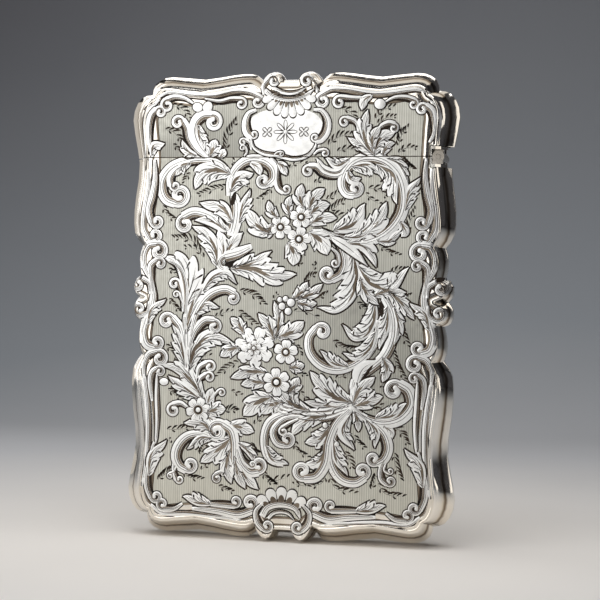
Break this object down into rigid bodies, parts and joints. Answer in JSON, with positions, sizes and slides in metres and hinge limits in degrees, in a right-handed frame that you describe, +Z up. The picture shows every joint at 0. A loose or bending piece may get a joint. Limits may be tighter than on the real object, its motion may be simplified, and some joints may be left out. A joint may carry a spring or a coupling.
{
  "type": "visiting card case",
  "caption": "Flat pocket case for cards with a scalloped outline, two struck shells, engraved faces and an end lid hinged at one side.",
  "frame": {"origin": "under the middle of the case, on the level of its lowest points as it stands on its lower edge", "axes": "+Z up through the lid, +X towards the hinged side, -Y out of the front face"},
  "size_m": [0.0738, 0.01, 0.1031],
  "materials": {
    "engraved_silver": "engraved sterling silver, bright cut on a lined ground",
    "polished_silver": "polished sterling silver",
    "gilt_silver": "gilt silver"
  },
  "bodies": {
    "case_body": {"body_front_shell": "engraved_silver", "body_back_shell": "engraved_silver", "mouth_collar": "gilt_silver", "body_hinge_liner": "polished_silver", "body_hinge_knuckle_front": "polished_silver", "body_hinge_knuckle_middle": "polished_silver", "body_hinge_knuckle_back": "polished_silver", "hinge_pin": "polished_silver"},
    "lid": {"lid_front_shell": "engraved_silver", "lid_back_shell": "engraved_silver", "lid_hinge_liner": "polished_silver", "lid_hinge_knuckle_front": "polished_silver", "lid_hinge_knuckle_back": "polished_silver"}
  },
  "joints": [
    {"name": "lid_hinge", "type": "hinge", "parent": "case_body", "child": "lid", "pos_m": [0.0328, 0, 0.08405], "axis": [0, 1, 0], "range_deg": [0, 82]}
  ]
}
